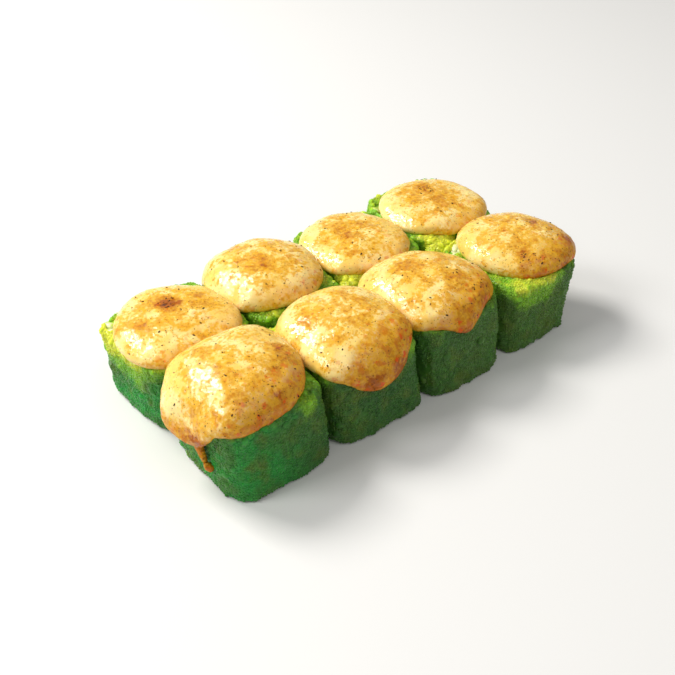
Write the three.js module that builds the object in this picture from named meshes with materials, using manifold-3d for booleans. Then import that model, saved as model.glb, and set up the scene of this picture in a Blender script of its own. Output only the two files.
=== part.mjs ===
// Baked inside-out sushi roll: one square roll cut into eight slices, which stand on their cut
// faces in two rows of four. Each slice is pressed rice in a coat of green capelin roe, and
// carries a browned cap of sauce that has spread over its top and against its neighbours.
// Millimetres, +Z up. The origin is the middle of the whole footprint, on the table, and +X runs
// along the rows.

import * as THREE from "three";
import { mergeVertices } from "three/addons/utils/BufferGeometryUtils.js";
import Module from "manifold-3d";

const wasm = await Module();
wasm.setup();

// Driving sizes
const PITCH = 34; // from the middle of one slice to the next, along and across the rows
const HEIGHT = 24; // the roll's length cut in eight
const SQUARENESS = 5; // power of the rounded-square outline
const COAT = 1.3; // roe coat, with the rice grains that bulge in it
const COAT_FOOT = 0.5; // the coat ends this far above the table
const GAP = 0.3; // between pieces that touch
const GRAIN = 3.4; // spacing of the bumps that the rice grains raise in the coat
const BUMP = 0.45; // height of those bumps
const EDGE_ROUND = 1.3; // how far down the coat's top edge is rounded
const LEDGE = 0.4; // flat left on top of the coat

// Fineness of the faceted solids
const COLUMNS = 44;
const ROWS = 5;
const CORE_COLUMNS = 28;
const CAP_SPOKES = 30;
const CAP_RINGS = 7;

// Each slice has its place in the two rows, its turn in degrees, and its outline at the table
// and at the top, as the middle's distance from that place in X and Y and the widths in X and Y.
// Its cap has its own middle, also from that place, half its width along its heading (in
// degrees) and across it, the height of its dome above the rice, and how far it hangs down where
// it has run over an edge.
const SLICES = [
  { name: "back_1", column: 0, row: 1, turn: 3,
    foot: [0.2, 1, 34.4, 34], head: [-0.6, 0.5, 36.2, 33.4],
    cap: { middle: [-1.2, -1.8], half: [18.5, 18.4], heading: -39, dome: 5.3, hang: 3 } },
  { name: "back_2", column: 1, row: 1, turn: 0,
    foot: [0.4, 0.6, 32.4, 33], head: [0.6, 1.2, 32.2, 33.6],
    cap: { middle: [-1.8, 2.8], half: [18.5, 17.5], heading: -39, dome: 8.2, hang: 3 } },
  { name: "back_3", column: 2, row: 1, turn: 0,
    foot: [0.3, 0.4, 33.2, 33.6], head: [0, 0.5, 32.8, 33.6],
    cap: { middle: [-2, -1], half: [18, 17], heading: -39, dome: 5.3, hang: 3 } },
  { name: "back_4", column: 3, row: 1, turn: 0.5,
    foot: [0.1, 0.8, 33, 33.2], head: [-0.2, 2.2, 34, 34.6],
    cap: { middle: [-0.6, -0.4], half: [18.3, 16.8], heading: -39, dome: 5.3, hang: 3 } },
  { name: "front_1", column: 0, row: 0, turn: -1,
    foot: [0.9, -1.3, 34.2, 36.2], head: [-0.4, -0.1, 33.8, 34],
    cap: { middle: [-2.3, 1.2], half: [20.8, 18.8], heading: 30, dome: 10, hang: 6 } },
  { name: "front_2", column: 1, row: 0, turn: -1.4,
    foot: [1.8, -1.4, 33.6, 35.2], head: [0.3, -0.1, 32.8, 33.6],
    cap: { middle: [0, -1.8], half: [19.5, 19.2], heading: -39, dome: 9, hang: 4 } },
  { name: "front_3", column: 2, row: 0, turn: 0,
    foot: [0.7, -1.8, 30.8, 36.4], head: [0.1, -0.5, 32, 34.4],
    cap: { middle: [-2.3, -1.2], half: [20.4, 18], heading: -39, dome: 8.5, hang: 3 } },
  { name: "front_4", column: 3, row: 0, turn: 2.6,
    foot: [-1.1, -1.2, 31.2, 35.2], head: [0.1, -1.4, 32.8, 35.6],
    cap: { middle: [3.4, -0.8], half: [18.8, 16.5], heading: -39, dome: 7.7, hang: 2 } },
];

// The drip that has run down the near end from the first slice's cap: the directions (in degrees
// from the slice's middle) and heights it passes through, and its half width there.
const DRIP = [
  [-172, 18, 1.1], [-171, 15, 1.1], [-169, 13, 1], [-166, 11.4, 0.9],
  [-163, 10, 0.7], [-160.5, 8.8, 0.9], [-159, 8, 0.7],
];

const radians = THREE.MathUtils.degToRad;
const smoothstep = THREE.MathUtils.smoothstep;

// Where a slice's place in the rows is.
const placeOf = (slice) => new THREE.Vector2((slice.column - 1.5) * PITCH, (slice.row - 0.5) * PITCH);

// A slice's middle and half widths at a height.
function sectionOf(slice, z) {
  const [x, y, width, depth] = slice.foot.map((v, i) => THREE.MathUtils.lerp(v, slice.head[i], z / HEIGHT));
  return { middle: placeOf(slice).add(new THREE.Vector2(x, y)), halves: [width / 2, depth / 2] };
}

// Distance from the middle to a rounded rectangle's side, in the direction of an angle.
function outlineReach([halfX, halfY], angle) {
  const c = Math.abs(Math.cos(angle)) / halfX;
  const s = Math.abs(Math.sin(angle)) / halfY;
  return (c ** SQUARENESS + s ** SQUARENESS) ** (-1 / SQUARENESS);
}

// A repeatable number from 0 to 1 for each point of a whole-number grid.
function hash(i, j, k) {
  const n = Math.sin(i * 127.1 + j * 311.7 + k * 74.7) * 43758.5453;
  return n - Math.floor(n);
}

// Smooth noise from -1 to 1, whose bumps are one unit across.
function noise(x, y, z) {
  const [i, j, k] = [x, y, z].map(Math.floor);
  const [u, v, w] = [x - i, y - j, z - k].map((t) => t * t * (3 - 2 * t));
  const { lerp } = THREE.MathUtils;
  const along = (dj, dk) => lerp(hash(i, j + dj, k + dk), hash(i + 1, j + dj, k + dk), u);
  return lerp(lerp(along(0, 0), along(1, 0), v), lerp(along(0, 1), along(1, 1), v), w) * 2 - 1;
}

// A closed solid from rings of points, each ring as long as the next, with a point at each end.
function loft(rings, first, last) {
  const points = [first, ...rings.flat(), last];
  const n = rings[0].length;
  const at = (ring, spoke) => 1 + ring * n + (spoke % n);
  const faces = [];
  for (let spoke = 0; spoke < n; spoke++) {
    faces.push(0, at(0, spoke + 1), at(0, spoke));
    faces.push(points.length - 1, at(rings.length - 1, spoke), at(rings.length - 1, spoke + 1));
    for (let ring = 0; ring + 1 < rings.length; ring++) {
      const [a, b] = [at(ring, spoke), at(ring, spoke + 1)];
      const [c, d] = [at(ring + 1, spoke), at(ring + 1, spoke + 1)];
      faces.push(a, b, d, a, d, c);
    }
  }
  return geometryOf(points, faces);
}

// A closed sleeve from rings of points that close on themselves.
function sleeve(rings) {
  const n = rings[0].length;
  const at = (ring, spoke) => (ring % rings.length) * n + (spoke % n);
  const faces = [];
  for (let spoke = 0; spoke < n; spoke++)
    for (let ring = 0; ring < rings.length; ring++) {
      const [a, b] = [at(ring, spoke), at(ring, spoke + 1)];
      const [c, d] = [at(ring + 1, spoke), at(ring + 1, spoke + 1)];
      faces.push(a, b, d, a, d, c);
    }
  return geometryOf(rings.flat(), faces);
}

function geometryOf(points, faces) {
  const geometry = new THREE.BufferGeometry().setFromPoints(points);
  return geometry.setIndex(faces);
}

// manifold-3d's solid of a geometry, and the geometry of a solid.
function solidOf(geometry) {
  const merged = mergeVertices(geometry, 1e-4);
  return new wasm.Manifold(new wasm.Mesh({
    numProp: 3,
    vertProperties: merged.attributes.position.array,
    triVerts: new Uint32Array(merged.index.array),
  }));
}

function geometryFrom(solid) {
  const { vertProperties, triVerts } = solid.getMesh();
  return new THREE.BufferGeometry()
    .setAttribute("position", new THREE.BufferAttribute(vertProperties, 3))
    .setIndex(new THREE.BufferAttribute(triVerts, 1));
}

// The point of a slice's side in a direction and at a height, moved out by an amount.
function sidePoint(slice, angle, z, out) {
  const { middle, halves } = sectionOf(slice, z);
  const r = outlineReach(halves.map((h) => h + out), angle);
  const turned = angle + radians(slice.turn);
  return new THREE.Vector3(middle.x + r * Math.cos(turned), middle.y + r * Math.sin(turned), z);
}

// One ring of a slice's outline at a height, moved out by an amount or by a function of the angle.
function sliceRing(slice, columns, z, out) {
  return Array.from({ length: columns }, (_, i) => {
    const angle = (i / columns) * 2 * Math.PI;
    return sidePoint(slice, angle, z, typeof out === "function" ? out(angle, z) : out);
  });
}

function middlePoint(slice, z) {
  const { middle } = sectionOf(slice, z);
  return new THREE.Vector3(middle.x, middle.y, z);
}

// How open a slice's side is in a direction: 1 where it looks out of the block, 0 where it
// faces a neighbour.
function openness(slice, angle) {
  const sides = [
    [slice.column === 0, -Math.cos(angle)],
    [slice.column === 3, Math.cos(angle)],
    [slice.row === 0, -Math.sin(angle)],
    [slice.row === 1, Math.sin(angle)],
  ];
  return Math.max(...sides.map(([open, towards]) => (open ? smoothstep(towards, 0.45, 0.7) : 0)));
}

// Rice core: a rounded square block from cut face to cut face.
function coreGeometry(slice) {
  const rings = [0, HEIGHT].map((z) => sliceRing(slice, CORE_COLUMNS, z, -COAT - GAP));
  return loft(rings, middlePoint(slice, 0), middlePoint(slice, HEIGHT));
}

// Roe coat: a sleeve round the rice, bumpy where it looks out of the block and rounded over at
// its top edge.
function coatGeometry(slice) {
  const outer = (angle, z) => {
    const { x, y } = sidePoint(slice, angle, z, 0);
    const bump = BUMP * noise(x / GRAIN, y / GRAIN, z / GRAIN) * openness(slice, angle);
    const up = Math.max(0, 1 - (HEIGHT - z) / EDGE_ROUND);
    return bump - (COAT - LEDGE + bump) * (1 - Math.sqrt(1 - up * up));
  };
  const heights = Array.from({ length: ROWS + 1 }, (_, i) =>
    THREE.MathUtils.lerp(COAT_FOOT, HEIGHT - EDGE_ROUND, i / ROWS));
  heights.push(HEIGHT - 0.35 * EDGE_ROUND, HEIGHT);
  const rings = heights.map((z) => sliceRing(slice, COLUMNS, z, outer));
  rings.push(sliceRing(slice, COLUMNS, HEIGHT, -COAT));
  rings.push(sliceRing(slice, COLUMNS, COAT_FOOT, -COAT));
  return sleeve(rings);
}

// What a cap is cut by: a slice, grown by the gap.
function sliceCutter(slice) {
  const heights = [-1, HEIGHT + GAP];
  const rings = heights.map((z) => sliceRing(slice, 36, z, GAP + BUMP));
  return solidOf(loft(rings, ...heights.map((z) => middlePoint(slice, z))));
}

// The seams between slices, where no sauce hangs down: a flat box inside the block's outline.
function seamCutter() {
  const inset = 5;
  const box = new THREE.BoxGeometry(4 * PITCH - 2 * inset, 2 * PITCH - 2 * inset, 2 * HEIGHT);
  return solidOf(box.deleteAttribute("normal").deleteAttribute("uv").translate(0, 0, GAP));
}

const capMiddle = (slice) => placeOf(slice).add(new THREE.Vector2(...slice.cap.middle));

// Half a cap's width in the direction of an angle, a little uneven.
function capReach(slice, angle) {
  const [along, across] = slice.cap.half;
  const a = angle - radians(slice.cap.heading);
  const r = 1 / Math.hypot(Math.cos(a) / along, Math.sin(a) / across);
  const seed = slice.column * 7 + slice.row * 3;
  return r * (1 + 0.025 * Math.sin(3 * angle + seed) + 0.015 * Math.sin(5 * angle + 2 * seed));
}

// How far a point of the plan lies outside a slice's top outline, less than 0 inside it.
function outside(slice, point) {
  const { middle, halves } = sectionOf(slice, HEIGHT);
  const d = point.clone().sub(middle);
  return d.length() - outlineReach(halves, d.angle() - radians(slice.turn));
}

// A tube with a rounded end that follows the drip down the first slice's side.
function dripBlob(slice) {
  const rings = DRIP.map(([angle, z, half]) => {
    const middle = sidePoint(slice, radians(angle), z, 0.5);
    const out = new THREE.Vector3(Math.cos(radians(angle)), Math.sin(radians(angle)), 0);
    const along = new THREE.Vector3(-out.y, out.x, 0);
    return Array.from({ length: 10 }, (_, i) => {
      const a = (-i / 10) * 2 * Math.PI;
      return middle.clone().addScaledVector(out, half * Math.cos(a)).addScaledVector(along, half * Math.sin(a));
    });
  });
  const end = ([angle, z], dz) => sidePoint(slice, radians(angle), z + dz, 0.5);
  return solidOf(loft(rings, end(DRIP[0], 0.6), end(DRIP.at(-1), -0.7)));
}

// Cap of sauce before it is cut to the slice: a dome with a rounded rim that hangs down where it
// has run over an edge.
function capBlob(slice) {
  const { dome, hang } = slice.cap;
  const middle = capMiddle(slice);
  const spokes = Array.from({ length: CAP_SPOKES }, (_, i) => {
    const angle = (i / CAP_SPOKES) * 2 * Math.PI;
    const reach = capReach(slice, angle);
    const rim = middle.clone().add(new THREE.Vector2(Math.cos(angle), Math.sin(angle)).multiplyScalar(reach));
    const over = outside(slice, rim);
    return { angle, reach, rimZ: HEIGHT + 1.5 - (hang + 1.5) * smoothstep(over, -0.5, 4) };
  });
  const point = ({ angle, reach }, share, z) =>
    new THREE.Vector3(middle.x + reach * share * Math.cos(angle), middle.y + reach * share * Math.sin(angle), z);
  const top = HEIGHT + dome;
  const rings = [spokes.map((s) => point(s, 0.8, s.rimZ - 2.4))];
  rings.push(spokes.map((s) => point(s, 0.93, s.rimZ - 1.6)));
  for (let i = 0; i <= CAP_RINGS - 1; i++) {
    const t = (i / CAP_RINGS) * (Math.PI / 2);
    rings.push(spokes.map((s) => point(s, Math.cos(t) ** 0.9, s.rimZ + (top - s.rimZ) * Math.sin(t) ** 0.9)));
  }
  return solidOf(loft(rings, new THREE.Vector3(middle.x, middle.y, HEIGHT - 6), new THREE.Vector3(middle.x, middle.y, top)));
}

// A half space that ends at a plane of the plan, as a large box.
function halfSpace(point, direction) {
  const size = 200;
  const box = new THREE.BoxGeometry(size, size, size).deleteAttribute("normal").deleteAttribute("uv");
  box.translate(-size / 2, 0, 0);
  box.rotateZ(direction.angle());
  box.translate(point.x, point.y, HEIGHT);
  return solidOf(box);
}

// Cap, cut to the slices' tops and to the planes where it meets the caps beside it.
function capGeometry(slice) {
  let solid = capBlob(slice);
  if (slice.name === "front_1") solid = solid.add(dripBlob(slice));
  solid = solid.subtract(underCaps);
  const middle = capMiddle(slice);
  for (const other of SLICES) {
    const near = Math.abs(other.column - slice.column) <= 1;
    if (other === slice || !near) continue;
    const away = capMiddle(other).sub(middle);
    const [mine, theirs] = [capReach(slice, away.angle()), capReach(other, away.angle() + Math.PI)];
    const distance = away.length();
    const share = (distance ** 2 + mine ** 2 - theirs ** 2) / (2 * distance);
    const meeting = middle.clone().addScaledVector(away, (share - GAP / 2) / distance);
    solid = solid.intersect(halfSpace(meeting, away));
  }
  const parts = solid.decompose().sort((a, b) => b.volume() - a.volume());
  return geometryFrom(parts[0]);
}

const rice = new THREE.MeshStandardMaterial({ color: "#d9dcae", roughness: 0.6 });
const roe = new THREE.MeshStandardMaterial({ color: "#3f7d2c", roughness: 0.4 });
const sauce = new THREE.MeshStandardMaterial({ color: "#e3b45a", roughness: 0.35 });

function piece(name, geometry, material) {
  const mesh = new THREE.Mesh(geometry, material);
  mesh.name = name;
  return mesh;
}

const underCaps = SLICES.map(sliceCutter).reduce((all, cutter) => all.add(cutter), seamCutter());

const roll = new THREE.Group();
for (const slice of SLICES) {
  roll.add(piece(`rice_${slice.name}`, coreGeometry(slice), rice));
  roll.add(piece(`roe_${slice.name}`, coatGeometry(slice), roe));
  roll.add(piece(`cap_${slice.name}`, capGeometry(slice), sauce));
}

// The origin goes to the middle of the whole footprint.
const middle = new THREE.Box3().setFromObject(roll).getCenter(new THREE.Vector3());
roll.position.set(-middle.x, -middle.y, 0);

export default roll;
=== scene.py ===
# The looks of a baked uramaki roll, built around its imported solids: eight slices of pressed rice
# in green roe, each under a browned cap of sauce. Everything is in metres, in the solids' frame.

from math import cos, hypot, pi, radians, sin

import bpy
from mathutils import Matrix, Vector


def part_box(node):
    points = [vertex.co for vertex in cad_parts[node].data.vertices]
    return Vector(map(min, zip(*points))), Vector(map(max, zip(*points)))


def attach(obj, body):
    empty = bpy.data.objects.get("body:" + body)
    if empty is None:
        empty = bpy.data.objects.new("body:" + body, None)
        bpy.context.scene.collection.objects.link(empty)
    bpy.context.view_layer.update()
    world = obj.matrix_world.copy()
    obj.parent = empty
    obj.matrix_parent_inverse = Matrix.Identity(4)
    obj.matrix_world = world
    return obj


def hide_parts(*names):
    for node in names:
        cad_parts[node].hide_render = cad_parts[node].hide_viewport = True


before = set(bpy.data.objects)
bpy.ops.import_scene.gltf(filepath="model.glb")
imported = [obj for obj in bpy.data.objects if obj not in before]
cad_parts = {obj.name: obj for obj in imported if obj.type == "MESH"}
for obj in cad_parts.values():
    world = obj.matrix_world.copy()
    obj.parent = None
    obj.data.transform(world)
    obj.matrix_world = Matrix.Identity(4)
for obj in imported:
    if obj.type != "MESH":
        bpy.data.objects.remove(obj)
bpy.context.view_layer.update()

# The table and the light
#
# A plain pale table top, with a soft window light from behind, a weaker one from the left, a wide
# fill from the front, and the camera at the height and side the roll was seen from.
MM = 0.001
CAMERA_TURN, CAMERA_RISE, CAMERA_DISTANCE = radians(-39.2), radians(37.9), 300 * MM
LOOKED_AT = Vector((-11.46, -8.56, 15)) * MM
LENS_MM, SENSOR_MM = 53.33, 36
NEAREST_SEEN = 10 * MM
TABLE_SIZE = 6
ROOM_LIGHT = 0.32


def linear(hex_colour):
    """The linear colour of an sRGB hex value such as #D8A040."""
    parts = [int(hex_colour[i:i + 2], 16) / 255 for i in (1, 3, 5)]
    return [c / 12.92 if c <= 0.04045 else ((c + 0.055) / 1.055) ** 2.4 for c in parts] + [1]


def add_node(tree, kind, inputs=(), **settings):
    """Add a node with its settings. inputs maps sockets to values or to the sockets that feed them."""
    node = tree.nodes.new(kind)
    for name, value in settings.items():
        setattr(node, name, value)
    for name, value in dict(inputs).items():
        if isinstance(value, bpy.types.NodeSocket):
            tree.links.new(value, node.inputs[name])
        else:
            node.inputs[name].default_value = value
    return node


def new_material(name):
    """An empty node material and its tree."""
    material = bpy.data.materials.new(name)
    material.use_nodes = True
    tree = material.node_tree
    tree.nodes.clear()
    return material, tree


def surface(tree, **inputs):
    """Give a material its shader, with spaces for the underscores of the socket names."""
    shader = add_node(tree, "ShaderNodeBsdfPrincipled", {
        name.replace("_", " "): value for name, value in inputs.items()})
    add_node(tree, "ShaderNodeOutputMaterial", {"Surface": shader.outputs[0]})


def area_light(name, direction, distance, size, watts, colour=(1, 1, 1)):
    """A soft square light that looks at the roll from a direction."""
    data = bpy.data.lights.new(name, "AREA")
    data.size, data.energy, data.color = size, watts, colour
    light = bpy.data.objects.new(name, data)
    bpy.context.collection.objects.link(light)
    direction = Vector(direction).normalized()
    light.location = LOOKED_AT + direction * distance
    light.rotation_euler = direction.to_track_quat("Z", "Y").to_euler()


camera_data = bpy.data.cameras.new("camera")
camera_data.lens, camera_data.sensor_width = LENS_MM, SENSOR_MM
camera_data.clip_start = NEAREST_SEEN
camera = bpy.data.objects.new("camera", camera_data)
bpy.context.collection.objects.link(camera)
towards_camera = Vector((
    sin(CAMERA_TURN) * cos(CAMERA_RISE), -cos(CAMERA_TURN) * cos(CAMERA_RISE), sin(CAMERA_RISE)))
camera.location = LOOKED_AT + towards_camera * CAMERA_DISTANCE
camera.rotation_euler = (pi / 2 - CAMERA_RISE, 0, CAMERA_TURN)
bpy.context.scene.camera = camera

area_light("window_light", direction=(-0.27, 0.62, 0.74), distance=0.9, size=0.3, watts=7.2,
           colour=(1, 0.98, 0.95))
area_light("side_light", direction=(-0.65, 0.25, 0.65), distance=0.9, size=0.3, watts=3.2)
area_light("fill_light", direction=(0.1, -0.55, 0.85), distance=1.2, size=0.9, watts=2.6)
world = bpy.data.worlds.new("studio")
world.use_nodes = True
background = world.node_tree.nodes["Background"]
background.inputs["Color"].default_value = linear("#FFFFFF")
background.inputs["Strength"].default_value = ROOM_LIGHT
bpy.context.scene.world = world
bpy.context.scene.view_settings.view_transform = "Standard"

bpy.ops.mesh.primitive_plane_add(size=TABLE_SIZE, location=(0, 0, 0))
table_top = bpy.context.object
table_top.name = "table_top"
# Matt paint scatters the light: soft shadows and no mirrored shapes.
table_paint, tree = new_material("matt_white_table_paint")
surface(tree, Base_Color=linear("#E4E3E0"), Roughness=0.7)
table_top.data.materials.append(table_paint)

# Rice
#
# Pressed short-grain rice, moist and slightly see-through, tinted green by the roe's juice. Each
# slice's body is a plain block. Single grains, about 6 mm long once cooked, lie on its foot and on
# the corners of its upper cut face that the roe left bare.
SLICES = [f"{row}_{place}" for row in ("back", "front") for place in (1, 2, 3, 4)]
GRAIN_SIZE = (5.6 * MM, 2.9 * MM, 2.1 * MM)
GRAIN_SPACING = 2.9 * MM
GRAIN_STANDS_PROUD = 0.9 * MM
CORE_GROWS = 0.35 * MM
CORE_VOXEL = 1 * MM
LEVEL = 0.9  # how far up or down a face's normal points at least, where the face is level
FOOT_GRAINS_REACH = 0.42  # of the foot's width, from its middle
# Corners of the upper cut faces that the roe left bare: place and radius in millimetres. Rice
# grains show up to a margin beyond them.
BARE_CORNERS = [(-65, 29.7, 4.2), (37, 29.2, 4.2), (39.3, -5, 3.6)]
BARE_MARGIN = 1.5


def deselect():
    """Leave edit mode and deselect everything."""
    if bpy.context.object and bpy.context.object.mode != "OBJECT":
        bpy.ops.object.mode_set(mode="OBJECT")
    bpy.ops.object.select_all(action="DESELECT")


def make_active(piece):
    """Select one piece alone, for the operators that come next."""
    deselect()
    piece.select_set(True)
    bpy.context.view_layer.objects.active = piece


def copy_of_node(node, name):
    """A merged copy of a CAD node's mesh, as a new object."""
    piece = bpy.data.objects.new(name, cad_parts[node].data.copy())
    bpy.context.collection.objects.link(piece)
    piece.data.materials.clear()
    make_active(piece)
    bpy.ops.object.mode_set(mode="EDIT")
    bpy.ops.mesh.select_all(action="SELECT")
    bpy.ops.mesh.remove_doubles(threshold=0.01 * MM)
    bpy.ops.object.mode_set(mode="OBJECT")
    return piece


def extent(node):
    """The lowest and highest corner of a CAD node, its middle and half its size."""
    low, high = (Vector(corner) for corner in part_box(node))
    return low, high, (low + high) / 2, (high - low) / 2


def clone(piece, name):
    """A copy of a piece, with a mesh of its own."""
    copy = bpy.data.objects.new(name, piece.data.copy())
    bpy.context.collection.objects.link(copy)
    return copy


def join(pieces, name):
    """Make several pieces one, under a name."""
    make_active(pieces[0])
    for piece in pieces:
        piece.select_set(True)
    bpy.ops.object.join()
    piece = bpy.context.object
    piece.name = name
    bpy.ops.object.shade_smooth()
    return piece


def apply(piece, kind, **settings):
    """Add a modifier with its settings and apply it."""
    make_active(piece)
    modifier = piece.modifiers.new(kind.lower(), kind)
    for name, value in settings.items():
        setattr(modifier, name, value)
    bpy.ops.object.modifier_apply(modifier=modifier.name)


def keep_faces(piece, wanted):
    """Delete the faces for which wanted(centre, normal) is false."""
    make_active(piece)
    bpy.ops.object.mode_set(mode="EDIT")
    bpy.ops.mesh.select_mode(type="FACE")
    bpy.ops.mesh.select_all(action="DESELECT")
    bpy.ops.object.mode_set(mode="OBJECT")
    for face in piece.data.polygons:
        face.select = not wanted(face.center, face.normal)
    bpy.ops.object.mode_set(mode="EDIT")
    bpy.ops.mesh.delete(type="FACE")
    bpy.ops.object.mode_set(mode="OBJECT")


def oval(name, size, segments, rings):
    """A rounded grain of the given length, width and height."""
    deselect()
    bpy.ops.mesh.primitive_uv_sphere_add(segments=segments, ring_count=rings, radius=0.5)
    grain = bpy.context.object
    grain.name = name
    bpy.ops.object.mode_set(mode="EDIT")
    bpy.ops.transform.resize(value=size, center_override=(0, 0, 0))
    bpy.ops.object.mode_set(mode="OBJECT")
    bpy.ops.object.shade_smooth()
    return grain


def scatter(on, grain, spacing, seed, sink, sizes, tumble, evenly=True):
    """Put copies of a grain on a surface, as one mesh. Each lies along the surface, turned at
    random, sunk into it, scaled between two sizes, and tumbled out of it by up to an angle. The
    surface's own mesh goes away. Three seeds in a row are used, from the one given."""
    tree = bpy.data.node_groups.new("scatter", "GeometryNodeTree")
    for in_out in ("INPUT", "OUTPUT"):
        tree.interface.new_socket("Geometry", in_out=in_out, socket_type="NodeSocketGeometry")
    start = add_node(tree, "NodeGroupInput")
    if evenly:
        points = add_node(tree, "GeometryNodeDistributePointsOnFaces", {
            "Mesh": start.outputs[0], "Distance Min": spacing, "Density Max": 4 / spacing ** 2,
            "Seed": seed}, distribute_method="POISSON")
    else:
        points = add_node(tree, "GeometryNodeDistributePointsOnFaces", {
            "Mesh": start.outputs[0], "Density": 1 / spacing ** 2, "Seed": seed})
    sunk = add_node(tree, "ShaderNodeVectorMath", {0: points.outputs["Normal"], "Scale": -sink},
                    operation="SCALE")
    placed = add_node(tree, "GeometryNodeSetPosition", {
        "Geometry": points.outputs["Points"], "Offset": sunk.outputs[0]})
    size = add_node(tree, "FunctionNodeRandomValue", {2: sizes[0], 3: sizes[1], "Seed": seed + 1},
                    data_type="FLOAT")
    shape = add_node(tree, "GeometryNodeObjectInfo", {"Object": grain})
    laid = add_node(tree, "GeometryNodeInstanceOnPoints", {
        "Points": placed.outputs[0], "Instance": shape.outputs["Geometry"],
        "Rotation": points.outputs["Rotation"], "Scale": size.outputs[1]})
    turn = add_node(tree, "FunctionNodeRandomValue", {
        0: (-tumble, -tumble, 0), 1: (tumble, tumble, 2 * pi), "Seed": seed + 2},
        data_type="FLOAT_VECTOR")
    turned = add_node(tree, "GeometryNodeRotateInstances", {
        "Instances": laid.outputs[0], "Rotation": turn.outputs[0]})
    real = add_node(tree, "GeometryNodeRealizeInstances", {"Geometry": turned.outputs[0]})
    add_node(tree, "NodeGroupOutput", {0: real.outputs[0]})
    apply(on, "NODES", node_group=tree)
    return on


def step(value, low, high):
    """0 below low, 1 above high, and smooth between them."""
    t = min(max((value - low) / (high - low), 0), 1)
    return t * t * (3 - 2 * t)


def nearness(point, x, y, radius, core):
    """1 near a place given in millimetres, out to a share of its radius, and 0 past the radius."""
    return 1 - step(hypot(point.x / MM - x, point.y / MM - y), core * radius, radius)


def bareness(point, margin=0):
    """1 in the middle of a bare corner, 0 outside all of them and their margins in millimetres."""
    return max(nearness(point, x, y, radius + margin, 0.7) for x, y, radius in BARE_CORNERS)


def mottles(tree, millimetres, detail=2):
    """An uneven pattern with spots of a real size, on the object's own coordinates."""
    place = add_node(tree, "ShaderNodeTexCoord").outputs["Object"]
    return add_node(tree, "ShaderNodeTexNoise", {
        "Vector": place, "Scale": 1 / (millimetres * MM), "Detail": detail,
        "Roughness": 0.6}).outputs[0]


def stained(tree, under, colour, where, rise=None, most=1):
    """Lay a colour over another, by the amount that where gives. With a rise of two values, the
    amount grows smoothly from none to the most between them."""
    if rise:
        where = add_node(tree, "ShaderNodeMapRange", {
            "Value": where, "From Min": rise[0], "From Max": rise[1], "To Max": most},
            interpolation_type="SMOOTHSTEP").outputs[0]
    return add_node(tree, "ShaderNodeMix", {"Factor": where, 6: under, 7: linear(colour)},
                    data_type="RGBA").outputs[2]


# Cooked rice is an off-white, wet starch that light enters; the roe's juice tints it green in
# patches a few millimetres across.
rice_paste, tree = new_material("pressed_sushi_rice")
colour = stained(tree, linear("#E2E3B0"), "#B9CC52", mottles(tree, 6), (0.45, 0.6))
surface(tree, Base_Color=colour, Roughness=0.35, IOR=1.4, Subsurface_Weight=0.4,
        Subsurface_Radius=(1, 0.9, 0.5), Subsurface_Scale=2 * MM, Coat_Weight=0.3, Coat_Roughness=0.15)

rice_grain = oval("rice_grain", GRAIN_SIZE, segments=8, rings=6)
rice_grain.data.materials.append(rice_paste)
for number, name in enumerate(SLICES):
    low, high, middle, half = extent(f"rice_{name}")
    core = copy_of_node(f"rice_{name}", f"pressed_rice_{name}")
    cut_faces = clone(core, "cut_faces")
    make_active(core)
    bpy.ops.object.mode_set(mode="EDIT")
    bpy.ops.mesh.select_all(action="SELECT")
    height = high.z - low.z
    bpy.ops.transform.resize(value=(1, 1, 1 - 2 * (GRAIN_STANDS_PROUD + CORE_GROWS) / height),
                             center_override=(0, 0, height / 2))
    bpy.ops.object.mode_set(mode="OBJECT")
    apply(core, "DISPLACE", strength=CORE_GROWS, mid_level=0)
    apply(core, "REMESH", mode="VOXEL", voxel_size=CORE_VOXEL)
    core.data.materials.append(rice_paste)
    apply(cut_faces, "SUBSURF", subdivision_type="SIMPLE", levels=5, render_levels=5)

    def holds_grains(centre, normal):
        """On the foot, away from its edge, or at a bare corner of the top."""
        if normal.z > LEVEL:
            return bareness(centre, BARE_MARGIN) > 0
        off_middle = max(abs(centre.x - middle.x) / half.x, abs(centre.y - middle.y) / half.y) / 2
        return normal.z < -LEVEL and off_middle < FOOT_GRAINS_REACH

    keep_faces(cut_faces, holds_grains)
    grains = scatter(cut_faces, rice_grain, GRAIN_SPACING, seed=10 * number, sink=GRAIN_SIZE[2] / 2,
                     sizes=(0.8, 1), tumble=0.1)
    core = join([core, grains], f"pressed_rice_{name}")
    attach(core, "root")
    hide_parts(f"rice_{name}")

# Roe coat
#
# Green capelin roe, rolled onto the rice while it was one long roll: round wet eggs just under a
# millimetre across, packed side by side over rice grains that bulge under them. Where the roll
# was cut, roe and coated grains have spread over the edge of the cut, apart from a few corners.
EGG = 0.95 * MM
EGG_SPACING = 0.74 * MM
EGG_SINKS = 0.18 * MM
COATED_GRAIN = (4 * MM, 2.8 * MM, 2.2 * MM)
COAT_VOXEL = 0.6 * MM
BULGE_SIZE, BULGE_HEIGHT = 3 * MM, 0.8 * MM
LUMP_SIZE, LUMP_HEIGHT = 6 * MM, 0.9 * MM
SQUARENESS = 5  # the power of the rounded square that a slice is in outline
SIDE_THICKNESS = 2.5 * MM
SEAM_DEPTH = 11 * MM
SPREAD_THICKNESS, SPREAD_WIDENS = 5 * MM, 1.05
LEDGE_WIDTH, LEDGE_DEPTH = 7 * MM, 3 * MM
RIM_DEPTH = 2.5 * MM
BARE_DEPTH = 1.4 * MM
BARE_EDGE = (1.2 * MM, 2 * MM)
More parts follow.
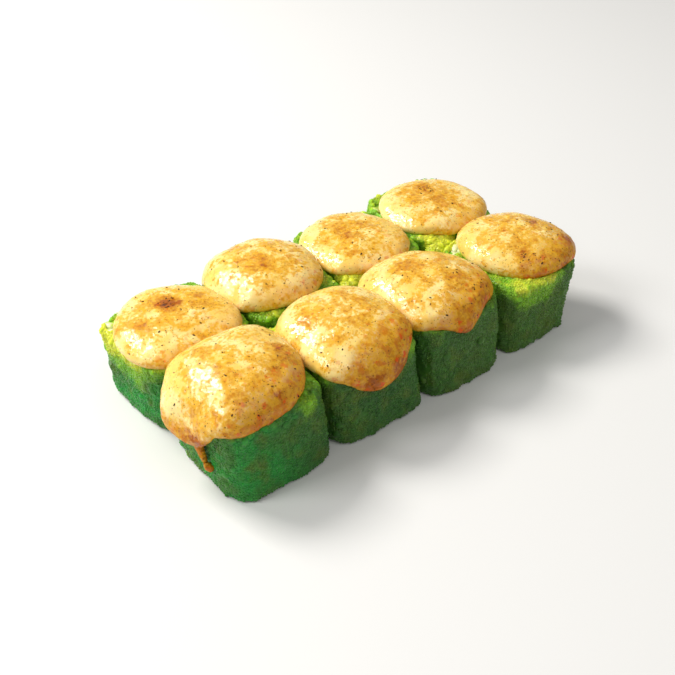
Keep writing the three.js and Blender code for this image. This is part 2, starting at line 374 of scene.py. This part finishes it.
# Roe pushed up in the gaps where four slices meet: the slice it clings to, and the lump's middle,
# length, width and height in millimetres.
PUSHED_UP = [("back_4", (41, 2, 20.6), (13, 6, 5.4)), ("back_3", (4, 3.4, 20.8), (8, 6, 5)),
             ("front_2", (-31.5, -1.5, 20.6), (6.5, 6, 5))]
# Where the green fades along the roll: painted brighter at the near end, which the light falls on
# from the left (painted light), and olive towards the far one.
LIT_NEAR_END_FADES, OLIVE_GROWS = (-60 * MM, -38 * MM), (-20 * MM, 50 * MM)
# How far down from the cut the roe is painted lime, in millimetres: on the long side that faces
# front, on the others, and at single places, each with its place, radius and reach. The lime is
# partly sauce oil run into the roe and partly painted light, for light shining through the roe:
# little on the front side, turned from the light, and much on the lit near end and in the gaps
# where the slices meet, which it paints as lit.
LIME_REACH_FRONT, LIME_REACH = 0.5, 5
FRONT_SIDE = (24, 34)  # millimetres from the middle line, between which the front side begins
LIME_GLOW_PLACES = [(-71, 20, 20, 11), (-71, -20, 12, 4), (46, -36, 15, 7), (-41, -36, 5, 4), (-3, -35, 5, 4),
               (41, 2, 9, 14), (4, 3.4, 8, 13), (-31.5, -2, 4, 13)]
LIME_STARTS, LIME_BRIGHTENS, LIME_IS_FULL = 22 * MM, 28 * MM, 33 * MM
LIME_WANDERS = 12 * MM


def lumps(kind, size, **settings):
    """A texture for the Displace modifier, with lumps of a real size."""
    texture = bpy.data.textures.new(f"lumps_{len(bpy.data.textures)}", kind)
    texture.noise_scale = size
    for name, value in settings.items():
        setattr(texture, name, value)
    return texture


# Each egg is a clear skin over green oil: moist, and lit from inside. The green is painted brighter
# at the near end, where the light falls from the left (painted light), and more olive at the far one.
# Along the cut it is lime, partly where sauce oil has run into it and partly painted light: light
# shining through the roe where its top edge is lit and into the gaps between the slices.
roe_eggs, tree = new_material("green_capelin_roe")
place = add_node(tree, "ShaderNodeTexCoord").outputs["Object"]
along = add_node(tree, "ShaderNodeSeparateXYZ", {0: place})
# Painted light: a brighter green on the near end, which the light falls on from the left.
colour = stained(tree, linear("#2C963A"), "#3A6A2C", along.outputs["X"], LIT_NEAR_END_FADES)
colour = stained(tree, colour, "#587A30", along.outputs["X"], OLIVE_GROWS, 0.7)
colour = stained(tree, colour, "#44742C", mottles(tree, 11), (0.4, 0.65), 0.8)
colour = stained(tree, colour, "#5C7428", mottles(tree, 7), (0.45, 0.75), 0.8)
# Lime along the cut: partly oil stain, partly painted light shining through the roe's lit edges and into
# the gaps.
lime_glow_reach = add_node(tree, "ShaderNodeAttribute", attribute_name="lime_glow_reach").outputs["Fac"]
uneven = add_node(tree, "ShaderNodeMath", {
    0: mottles(tree, 5, 3), 1: LIME_WANDERS, 2: -LIME_WANDERS / 2}, operation="MULTIPLY_ADD").outputs[0]
raised = add_node(tree, "ShaderNodeMath", {0: along.outputs["Z"], 1: uneven}, operation="ADD").outputs[0]
raised = add_node(tree, "ShaderNodeMath", {0: raised, 1: lime_glow_reach}, operation="ADD").outputs[0]
colour = stained(tree, colour, "#7CB82A", raised, (LIME_STARTS, LIME_BRIGHTENS))
colour = stained(tree, colour, "#D8E83C", raised, (LIME_BRIGHTENS, LIME_IS_FULL))
speckle = add_node(tree, "ShaderNodeMapRange", {
    "Value": mottles(tree, 1.3, 1), "From Min": 0.35, "From Max": 0.7, "To Min": 0.85, "To Max": 1.2})
egg_colour = add_node(tree, "ShaderNodeVectorMath", {0: colour, "Scale": speckle.outputs[0]},
                      operation="SCALE")
surface(tree, Base_Color=egg_colour.outputs[0], Roughness=0.35, IOR=1.38, Specular_IOR_Level=0.25,
        Subsurface_Weight=0.5, Subsurface_Radius=(0.6, 1, 0.25), Subsurface_Scale=1.5 * MM,
        Coat_Weight=0.1, Coat_Roughness=0.1)

deselect()
bpy.ops.mesh.primitive_ico_sphere_add(subdivisions=1, radius=EGG / 2)
egg = bpy.context.object
egg.name = "roe_egg"
bpy.ops.object.shade_smooth()
egg.data.materials.append(roe_eggs)
coated_grain = oval("coated_grain", COATED_GRAIN, segments=8, rings=6)
coated_grain.data.materials.append(roe_eggs)
rice_bulges = lumps("VORONOI", BULGE_SIZE, noise_intensity=1)
broad_lumps = lumps("CLOUDS", LUMP_SIZE)
for number, name in enumerate(SLICES):
    low, high, middle, half = extent(f"roe_{name}")
    coat = copy_of_node(f"roe_{name}", f"roe_coat_{name}")

    def inset(point):
        """How far inside the slice's rounded-square outline a point lies."""
        x, y = abs(point.x - middle.x) / half.x, abs(point.y - middle.y) / half.y
        return (1 - (x ** SQUARENESS + y ** SQUARENESS) ** (1 / SQUARENESS)) * half.x

    def looks_out(centre, normal):
        """On the outside of the coat or its top edge, and not deep in a seam between two slices."""
        if normal.z > 0.3:
            on_ledge = centre.z > high.z - LEDGE_DEPTH and inset(centre) < LEDGE_WIDTH
            return on_ledge and bareness(centre) == 0
        if normal.z < -0.7 or inset(centre) > SIDE_THICKNESS:
            return False
        row, column = name.split("_")
        open_sides = [(column == "1", -normal.x), (column == "4", normal.x),
                      (row == "front", -normal.y), (row == "back", normal.y)]
        exposed = any(is_open and towards > 0.35 for is_open, towards in open_sides)
        return exposed or centre.z > high.z - SEAM_DEPTH

    def lime_glow_depth(point):
        """How far down from the cut the roe is painted lime at a point, in metres: partly oil stain,
        partly painted light.
        """
        front = step(-point.y / MM, *FRONT_SIDE)
        depths = [LIME_REACH + (LIME_REACH_FRONT - LIME_REACH) * front]
        depths += [reach * nearness(point, x, y, radius, 0.4) for x, y, radius, reach in LIME_GLOW_PLACES]
        return max(depths) * MM

    spread = copy_of_node(f"rice_{name}", "spread")
    make_active(spread)
    bpy.ops.object.mode_set(mode="EDIT")
    bpy.ops.mesh.select_all(action="SELECT")
    bpy.ops.mesh.bisect(plane_co=(0, 0, high.z - SPREAD_THICKNESS), plane_no=(0, 0, 1),
                        clear_inner=True, use_fill=True)
    bpy.ops.mesh.select_all(action="SELECT")
    bpy.ops.transform.resize(value=(SPREAD_WIDENS, SPREAD_WIDENS, 1),
                             center_override=(middle.x, middle.y, high.z))
    bpy.ops.object.mode_set(mode="OBJECT")
    clumps = []
    for slice_name, centre, size in PUSHED_UP:
        if slice_name == name:
            clump = oval("clump", [length * MM for length in size], segments=24, rings=16)
            clump.data.transform(Matrix.Translation(Vector(centre) * MM))
            clumps.append(clump)
    coat = join([coat, spread, *clumps], f"roe_coat_{name}")
    apply(coat, "REMESH", mode="VOXEL", voxel_size=COAT_VOXEL)
    apply(coat, "DISPLACE", texture=rice_bulges, texture_coords="LOCAL", strength=BULGE_HEIGHT,
          mid_level=0.6)
    apply(coat, "DISPLACE", texture=broad_lumps, texture_coords="LOCAL", strength=LUMP_HEIGHT,
          mid_level=0.5)
    for vertex in coat.data.vertices:
        if vertex.co.z > high.z - LEDGE_DEPTH:
            vertex.co.z -= BARE_DEPTH * bareness(vertex.co) * step(inset(vertex.co), *BARE_EDGE)
    # The depth of the painted lime and light at each point, for the roe's material.
    attribute = coat.data.attributes.new("lime_glow_reach", "FLOAT", "POINT")
    attribute.data.foreach_set("value", [lime_glow_depth(vertex.co) for vertex in coat.data.vertices])
    coat.data.materials.append(roe_eggs)

    skin = clone(coat, "skin")
    keep_faces(skin, looks_out)
    rim = clone(skin, "rim")
    keep_faces(rim, lambda centre, normal: centre.z > high.z - RIM_DEPTH)
    rim = scatter(rim, coated_grain, spacing=2.4 * MM, seed=500 + 10 * number, sink=0.75 * MM,
                  sizes=(0.6, 1.05), tumble=0.5)
    bulges = clone(skin, "bulges")
    keep_faces(bulges, lambda centre, normal: centre.z > low.z + COATED_GRAIN[2])
    bulges = scatter(bulges, coated_grain, spacing=3.2 * MM, seed=600 + 10 * number, sink=0.7 * MM,
                     sizes=(0.6, 1), tumble=0.4)
    eggs = scatter(skin, egg, EGG_SPACING, seed=200 + 10 * number, sink=EGG_SINKS, sizes=(0.9, 1.1),
                   tumble=0.3)
    coat = join([coat, eggs, rim, bulges], f"roe_coat_{name}")
    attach(coat, "root")
    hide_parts(f"roe_{name}")

# Baked sauce
#
# A thick sauce of mayonnaise and melted cheese, spooned on and browned under heat. Each cap has
# spread until it met the next, and the near one has run over its corner as a drip.
CAP_VOXEL = 0.5 * MM
CAP_ROUNDING = 160  # passes of the smoothing that rounds a cap
CAP_SWELLS, DRIP_SWELLS, SKIN_THICKNESS = 0.8 * MM, 0.6 * MM, 0.25 * MM
SWELL_SIZE, SWELL_HEIGHT = 8 * MM, 0.8 * MM
WRINKLE_SIZE, WRINKLE_HEIGHT = 2.2 * MM, 0.25 * MM
CAP_SETTLES = 0.5 * MM
# The heights between which the drip gives way to the cap's body, and those between which the rim
# gives way to the crown.
DRIP_TOP, RIM_TOP = (16.5 * MM, 19.5 * MM), (25 * MM, 31 * MM)
# Where the rim sags out of its solid's outline, or draws back: place, radius and reach in
# millimetres. It drops by half its reach as it sags, and rises as it draws back.
RIM_SAGS = [(-33, -32, 6, 1.4), (-29, -34.5, 5, 1), (-12, -36, 7, -1),
            (-64, -32, 8, 1.2), (-69, -28, 7, 0.3), (-55, -36, 8, -1.2), (-72, -18, 8, -1.8),
            (22, -35.5, 8, -1.4), (45, -32, 8, 0.9), (64, -31, 6, 1), (69, -23, 5, -0.6),
            (-66, 8, 9, 0.8), (-62, 35, 9, -0.8), (8, 35, 10, -0.8)]
# The side the melted fat has run to, how far a point leans that way where it starts and where it
# is full, and the share of it on the back row. That side is also the one turned from the light, so
# its darker amber is partly run fat and partly painted shade. The drip is fat up to a little above
# its top.
OILY_AND_SHADED_SIDE, OILY_AND_SHADED_LEAN, OILY_AND_SHADED_BACK_ROW = Vector((0.45, -0.85, -0.3)), (-0.25, 0.9), 0.4
OILY_ABOVE_DRIP = 4 * MM
# Browning at the crown; on the side turned from the light, and more on its low rim, a darker colour that
# is browning and painted shade together.
CROWN_BROWNING, OILY_AND_SHADED_BROWNING, RIM_BROWNING_AND_SHADE = 0.3, 0.28, 0.45
CROWN_EDGE = (0.5, 1.05)  # of the cap's half width
RIM_BROWNS_AND_SHADES_BELOW = (21 * MM, 28 * MM)
# Where the heat caught the caps most: place and radius in millimetres, and how much. The spots low
# on the front rims also darken those rims where they turn from the light: browning and painted shade
# together.
TOASTED_AND_SHADED_SPOTS = [
    (-64, 6, 6, 0.35), (-51, 20.5, 6, 0.85), (-44, 18, 8, 0.35), (-62, 16, 6, 0.3), (-67, 22, 6, 0.3),
    (-40, -21, 7, 0.4), (-56, -10, 6, 0.25), (-69, -25, 6, 0.3), (-57, -35, 6, 0.35), (-50, -34, 6, 0.4),
    (-21, 19, 9, 0.3), (14, 17, 9, 0.35), (53, 22, 6, 0.55), (51, 14, 7, 0.25),
    (-27, -14, 7, 0.35), (-12, -36, 7, 0.25), (-23, -37, 6, 0.3), (-3, -29, 6, 0.3),
    (12, -12, 8, 0.3), (20, -24, 7, 0.3), (24, -33, 7, 0.5), (14, -36, 6, 0.35), (3, -24, 5, 0.2),
    (-65, -32, 9, 0.35), (-74, -22, 10, 0.3), (46, -32, 10, 0.5),
    (62, -17.5, 4.5, 0.55), (67, -30, 6, 0.4), (58, -35, 6, 0.3), (48, -24, 6, 0.25), (56, -12, 6, 0.2),
]
# The colours that the cream turns, each with the browning it takes and how fully it covers:
# golden, amber, brown and char.
BROWNING_COLOURS = [("#E2A824", (0.13, 0.37), 0.9), ("#C88414", (0.4, 0.68), 0.85),
                    ("#A2520A", (0.7, 1.0), 0.9), ("#5A2A0A", (1.15, 1.45), 1)]
# The mottles that break the browning up: size in millimetres, detail and strength.
BROWNING_MOTTLES = [(4.5, 4, 1.8), (1.1, 3, 1.2)]
DUST = [(1.8, 0.3), (0.9, 0.18)]  # the pepper dust's spacing and radius in millimetres
DUST_COVERS = 0.85


def dots(tree, spacing, radius, share, ragged):
    """Dots of a real spacing and radius in millimetres, with ragged edges. A share of them shows."""
    place = add_node(tree, "ShaderNodeTexCoord").outputs["Object"]
    cells = add_node(tree, "ShaderNodeTexVoronoi", {"Vector": place, "Scale": 1 / (spacing * MM)})
    edge = add_node(tree, "ShaderNodeMath", {
        0: mottles(tree, radius), 1: ragged, 2: cells.outputs["Distance"]}, operation="MULTIPLY_ADD")
    reach = radius / spacing + ragged / 2
    inside = add_node(tree, "ShaderNodeMapRange", {
        "Value": edge.outputs[0], "From Min": reach, "From Max": reach - 0.5 * radius / spacing},
        interpolation_type="SMOOTHSTEP")
    chosen = add_node(tree, "ShaderNodeMath", {0: cells.outputs["Color"], 1: share}, operation="LESS_THAN")
    return add_node(tree, "ShaderNodeMath", {0: inside.outputs[0], 1: chosen.outputs[0]},
                    operation="MULTIPLY").outputs[0]


# An opaque cream rich in oil that browns in freckled mottles: golden, then amber, then brown. Bits
# of orange fat and fine pepper show in it, and a film of oil gives broken highlights. Low on each
# cap's side turned from the light it is a darker orange-brown: partly run fat, partly painted shade.
sauce_paste, tree = new_material("baked_cheese_sauce")
browned = add_node(tree, "ShaderNodeAttribute", attribute_name="browned").outputs["Fac"]
for millimetres, detail, strength in BROWNING_MOTTLES:
    patch = add_node(tree, "ShaderNodeMath", {
        0: mottles(tree, millimetres, detail), 1: strength, 2: -strength / 2}, operation="MULTIPLY_ADD")
    browned = add_node(tree, "ShaderNodeMath", {0: browned, 1: patch.outputs[0]},
                       operation="ADD").outputs[0]
oily_and_shaded = add_node(tree, "ShaderNodeAttribute", attribute_name="oily_and_shaded").outputs["Fac"]
colour = stained(tree, linear("#F7DD8E"), "#F1CA64", mottles(tree, 8), (0.4, 0.6))
# Painted shade and run fat: a darker orange on each cap's side turned from the light.
colour = stained(tree, colour, "#CC7C1C", oily_and_shaded, (0, 1), 0.92)
for shade, rise, most in BROWNING_COLOURS:
    colour = stained(tree, colour, shade, browned, rise, most)
# Patches of run fat on that same shaded side, a deeper orange: partly painted shade.
fat_patches = add_node(tree, "ShaderNodeMapRange", {
    "Value": mottles(tree, 3, 3), "From Min": 0.5, "From Max": 0.62, "To Max": 0.7},
    interpolation_type="SMOOTHSTEP")
run_fat_in_shade = add_node(tree, "ShaderNodeMath", {0: oily_and_shaded, 1: fat_patches.outputs[0]}, operation="MULTIPLY")
colour = stained(tree, colour, "#C86A18", run_fat_in_shade.outputs[0])
reddened = add_node(tree, "ShaderNodeMath", {0: oily_and_shaded, 1: 0.75, 2: 0.2}, operation="MULTIPLY_ADD")
fat_bits = dots(tree, spacing=3.4, radius=1, share=0.55, ragged=0.9)
fat_bits = add_node(tree, "ShaderNodeMath", {0: fat_bits, 1: reddened.outputs[0]}, operation="MULTIPLY")
colour = stained(tree, colour, "#DC5A14", fat_bits.outputs[0])
oil_film = add_node(tree, "ShaderNodeMapRange", {
    "Value": mottles(tree, 1.2, 3), "From Min": 0.45, "From Max": 0.5, "To Min": 0.05, "To Max": 1})
for spacing, radius in DUST:
    dust = dots(tree, spacing, radius, share=0.55, ragged=0.1)
    dust = add_node(tree, "ShaderNodeMath", {0: dust, 1: DUST_COVERS}, operation="MULTIPLY")
    colour = stained(tree, colour, "#7A4A14", dust.outputs[0])
    oil_film = add_node(tree, "ShaderNodeMath", {0: oil_film.outputs[0], 1: dust.outputs[0]},
                        operation="SUBTRACT", use_clamp=True)
wrinkles = add_node(tree, "ShaderNodeBump", {
    "Height": mottles(tree, 1.3, 3), "Strength": 0.5, "Distance": 0.25 * MM}).outputs[0]
oil = add_node(tree, "ShaderNodeBump", {
    "Height": mottles(tree, 2.5, 3), "Strength": 1, "Distance": 0.35 * MM, "Normal": wrinkles})
drained = add_node(tree, "ShaderNodeMath", {0: oily_and_shaded, 1: -0.6, 2: 1}, operation="MULTIPLY_ADD")
oil_film = add_node(tree, "ShaderNodeMath", {0: oil_film.outputs[0], 1: drained.outputs[0]},
                    operation="MULTIPLY")
surface(tree, Base_Color=colour, Roughness=0.55, IOR=1.4, Specular_IOR_Level=0.12, Normal=wrinkles,
        Subsurface_Weight=0.25, Subsurface_Radius=(1, 0.6, 0.25), Subsurface_Scale=1.5 * MM,
        Coat_Weight=oil_film.outputs[0], Coat_Roughness=0.06, Coat_IOR=1.6, Coat_Normal=oil.outputs[0])

caps = []
for name in SLICES:
    low, high, middle, half = extent(f"cap_{name}")
    cap = copy_of_node(f"cap_{name}", f"baked_sauce_{name}")
    apply(cap, "REMESH", mode="VOXEL", voxel_size=CAP_VOXEL)
    body = cap.vertex_groups.new(name="body")
    drip = cap.vertex_groups.new(name="drip")
    for vertex in cap.data.vertices:
        for x, y, radius, reach in RIM_SAGS:
            near = nearness(vertex.co, x, y, radius, 0.2)
            outwards = Vector((x * MM - middle.x, y * MM - middle.y, 0)).normalized()
            in_rim = step(vertex.co.z, *DRIP_TOP) - step(vertex.co.z, *RIM_TOP)
            vertex.co += (outwards - Vector((0, 0, 0.5))) * near * in_rim * reach * MM
        in_body = step(vertex.co.z, *DRIP_TOP)
        body.add([vertex.index], in_body, "REPLACE")
        drip.add([vertex.index], 1 - in_body, "REPLACE")
    apply(cap, "SMOOTH", factor=0.5, iterations=CAP_ROUNDING, vertex_group="body")
    apply(cap, "SMOOTH", factor=0.4, iterations=4)
    apply(cap, "DISPLACE", strength=CAP_SWELLS, mid_level=0, vertex_group="body")
    apply(cap, "DISPLACE", strength=DRIP_SWELLS, mid_level=0, vertex_group="drip")
    apply(cap, "DISPLACE", strength=SKIN_THICKNESS, mid_level=0)
    apply(cap, "DISPLACE", texture=lumps("CLOUDS", SWELL_SIZE), texture_coords="LOCAL",
          strength=SWELL_HEIGHT, mid_level=0.5)
    apply(cap, "DISPLACE", texture=lumps("CLOUDS", WRINKLE_SIZE, noise_depth=1), texture_coords="LOCAL",
          strength=WRINKLE_HEIGHT, mid_level=0.5)
    for vertex in cap.data.vertices:
        vertex.co.z -= CAP_SETTLES * step(vertex.co.z, *DRIP_TOP)
    cap.vertex_groups.clear()

    def oiliness_and_shade(point, normal):
        """How much fat and painted shade a point takes, from 0 to 1: most low on the side away from the
        heat and the light.
        """
        off_middle = Vector([(point[i] - middle[i]) / half[i] for i in range(3)])
        lean = 0.75 * off_middle.dot(OILY_AND_SHADED_SIDE) + 0.25 * normal.dot(OILY_AND_SHADED_SIDE)
        run = step(lean, *OILY_AND_SHADED_LEAN) * (1 if name.startswith("front") else OILY_AND_SHADED_BACK_ROW)
        return max(run, 1 - step(point.z, DRIP_TOP[0], DRIP_TOP[1] + OILY_ABOVE_DRIP))

    def browning(point, normal):
        """How far the heat has browned a point of the cap, from 0 for raw cream to 1 for char, with
        painted shade added low on the side turned from the light.
        """
        outwards = hypot((point.x - middle.x) / half.x, (point.y - middle.y) / half.y)
        amount = CROWN_BROWNING * (1 - step(outwards, *CROWN_EDGE))
        in_rim = step(point.z, *DRIP_TOP) - step(point.z, *RIM_BROWNS_AND_SHADES_BELOW)
        amount += oiliness_and_shade(point, normal) * (OILY_AND_SHADED_BROWNING + RIM_BROWNING_AND_SHADE * max(in_rim, 0))
        for x, y, radius, strength in TOASTED_AND_SHADED_SPOTS:
            amount += strength * nearness(point, x, y, radius, 0)
        return amount

    # The browning and the fat with its painted shade, stored on the cap's points for its material.
    for label, rule in (("browned", browning), ("oily_and_shaded", oiliness_and_shade)):
        attribute = cap.data.attributes.new(label, "FLOAT", "POINT")
        attribute.data.foreach_set("value", [rule(v.co, v.normal) for v in cap.data.vertices])
    cap.data.materials.append(sauce_paste)
    make_active(cap)
    bpy.ops.object.shade_smooth()
    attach(cap, "root")
    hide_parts(f"cap_{name}")
    caps.append(cap)

# Pepper and char flecks
#
# Ground pepper and burnt crumbs, from a fifth of a millimetre to over one across, shaken onto the
# sauce and stuck in it, with the crumbs where a toasted spot has charred.
FLECK_SIZE = (0.9 * MM, 0.45 * MM, 0.3 * MM)
CHARS_FROM = 0.5  # the strength from which a toasted spot has charred, in the inner half of it

# Cracked corns: dark brown husk, paler where the inside shows.
pepper, tree = new_material("ground_black_pepper")
colour = stained(tree, linear("#2A1608"), "#7A4A1C", mottles(tree, 2), (0.5, 0.6))
surface(tree, Base_Color=colour, Roughness=0.7, Specular_IOR_Level=0.2)


def charred(centre, normal):
    """On a level part of a cap, in the middle of a spot that has charred."""
    return normal.z > 0.85 and any(
        strength >= CHARS_FROM and hypot(centre.x / MM - x, centre.y / MM - y) < radius / 2
        for x, y, radius, strength in TOASTED_AND_SHADED_SPOTS)


fleck = oval("fleck", FLECK_SIZE, segments=6, rings=4)
fleck.data.materials.append(pepper)
flecks = join([clone(cap, "flecks") for cap in caps], "pepper_flecks")
flecks.data.materials.clear()
keep_faces(flecks, lambda centre, normal: normal.z > 0.15)
crumbs = clone(flecks, "crumbs")
keep_faces(crumbs, charred)
corns = clone(flecks, "corns")
flecks = join([
    scatter(corns, fleck, spacing=8 * MM, seed=900, sink=0, sizes=(0.6, 1.3), tumble=0.4, evenly=False),
    scatter(flecks, fleck, spacing=3 * MM, seed=950, sink=0, sizes=(0.2, 0.5), tumble=0.4, evenly=False),
    scatter(crumbs, fleck, spacing=1.3 * MM, seed=970, sink=0, sizes=(0.4, 1), tumble=0.4, evenly=False),
], "pepper_flecks")
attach(flecks, "root")

# The single grains, egg and fleck that were copied are put away.
for pattern in (rice_grain, egg, coated_grain, fleck):
    bpy.data.objects.remove(pattern)
